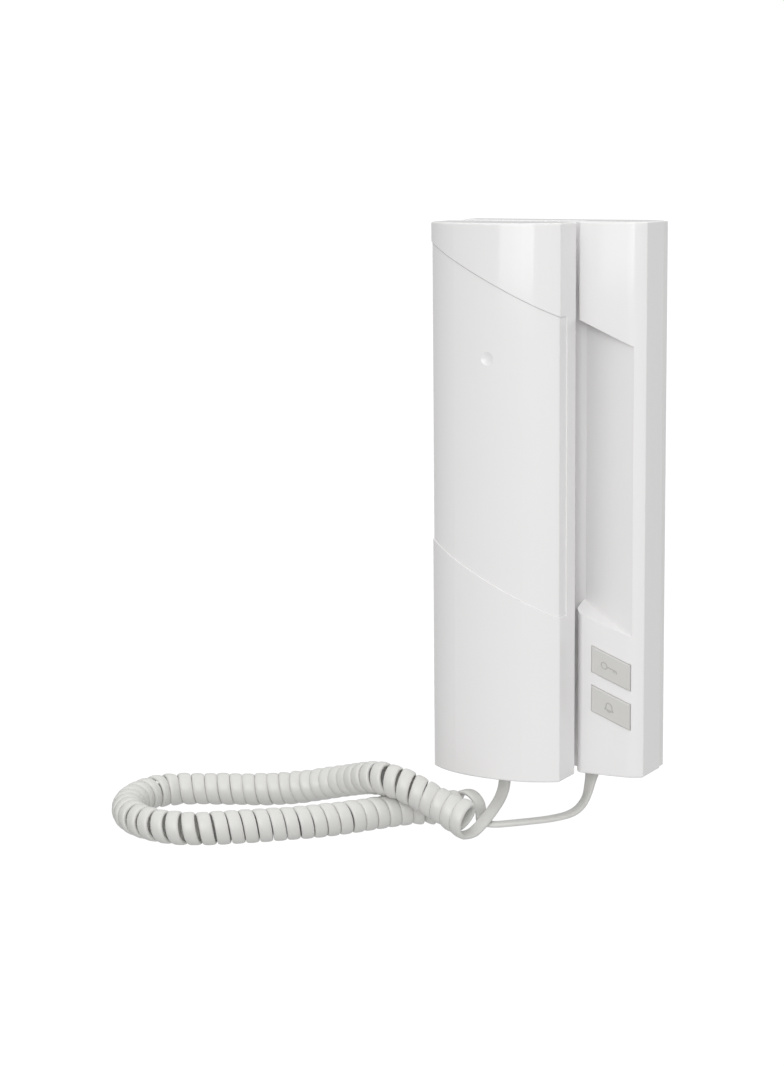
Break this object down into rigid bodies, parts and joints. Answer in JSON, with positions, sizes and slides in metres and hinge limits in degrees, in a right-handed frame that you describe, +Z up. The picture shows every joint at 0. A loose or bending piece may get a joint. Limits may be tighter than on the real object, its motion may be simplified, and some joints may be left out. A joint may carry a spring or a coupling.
{
  "type": "door-entry wall phone",
  "caption": "Slim door-entry wall phone: a wall base with push buttons, a full-height lift-off handset and a flat curly cord.",
  "frame": {"origin": "centre of the wall plate's back face, on the wall", "axes": "+X to the right seen from the front, +Y into the wall, +Z up"},
  "size_m": [0.1838, 0.1312, 0.2249],
  "materials": {
    "white_gloss": "polished moulded ABS",
    "white_matte": "fine matte moulded ABS",
    "button_grey": "fine satin grey",
    "cord_white": "satin PVC",
    "board_green": "solder mask",
    "black_plastic": "moulded",
    "steel": "zinc plated",
    "terminal_green": "moulded",
    "plug_clear": "translucent",
    "soft_foam": "closed-cell foam",
    "soft_rubber": "moulded rubber",
    "wire_red": "PVC wire"
  },
  "bodies": {
    "base": {"wall_plate": "white_matte", "base_cover": "white_gloss", "cover_screw": "steel", "circuit_board": "board_green", "circuit_board_screws": "steel", "board_components": "black_plastic", "unlock_switch": "black_plastic", "call_switch": "black_plastic", "unlock_button_spring": "steel", "call_button_spring": "steel", "hook_spring": "steel", "hook_switch": "black_plastic", "buzzer": "black_plastic", "terminal_block": "terminal_green", "terminal_screws": "steel", "base_jack": "black_plastic", "base_plug": "plug_clear", "handset_cord_tail": "cord_white", "handset_coil_end": "cord_white", "coiled_cord": "cord_white", "base_cord_tail": "cord_white"},
    "handset": {"handset_front_cover": "white_gloss", "handset_rear_cover": "white_gloss", "handset_screws": "steel", "earpiece_capsule": "steel", "earpiece_gasket": "soft_foam", "microphone_capsule": "steel", "microphone_boot": "soft_rubber", "earpiece_leads": "wire_red", "microphone_leads": "wire_red", "handset_jack": "black_plastic", "handset_plug": "plug_clear"},
    "hook_plunger": {"hook_plunger": "white_matte"},
    "unlock_button": {"unlock_button": "button_grey"},
    "call_button": {"call_button": "button_grey"}
  },
  "joints": [
    {"name": "handset_lift", "type": "slide", "parent": "base", "child": "handset", "axis": [0, -0.9063, 0.4226], "range_m": [0, 0.035]},
    {"name": "hook_travel", "type": "slide", "parent": "base", "child": "hook_plunger", "axis": [0, -1, 0], "range_m": [0, 0.0021], "deforming": ["hook_spring"]},
    {"name": "unlock_press", "type": "slide", "parent": "base", "child": "unlock_button", "axis": [0, 1, 0], "range_m": [0, 0.001], "stiffness_N_per_m": 250, "springref_m": -0.002, "deforming": ["unlock_button_spring"]},
    {"name": "call_press", "type": "slide", "parent": "base", "child": "call_button", "axis": [0, 1, 0], "range_m": [0, 0.001], "stiffness_N_per_m": 250, "springref_m": -0.002, "deforming": ["call_button_spring"]}
  ],
  "couplings": [
    {"joint": "hook_travel", "follows": "handset_lift", "ratio": 0.057143}
  ]
}
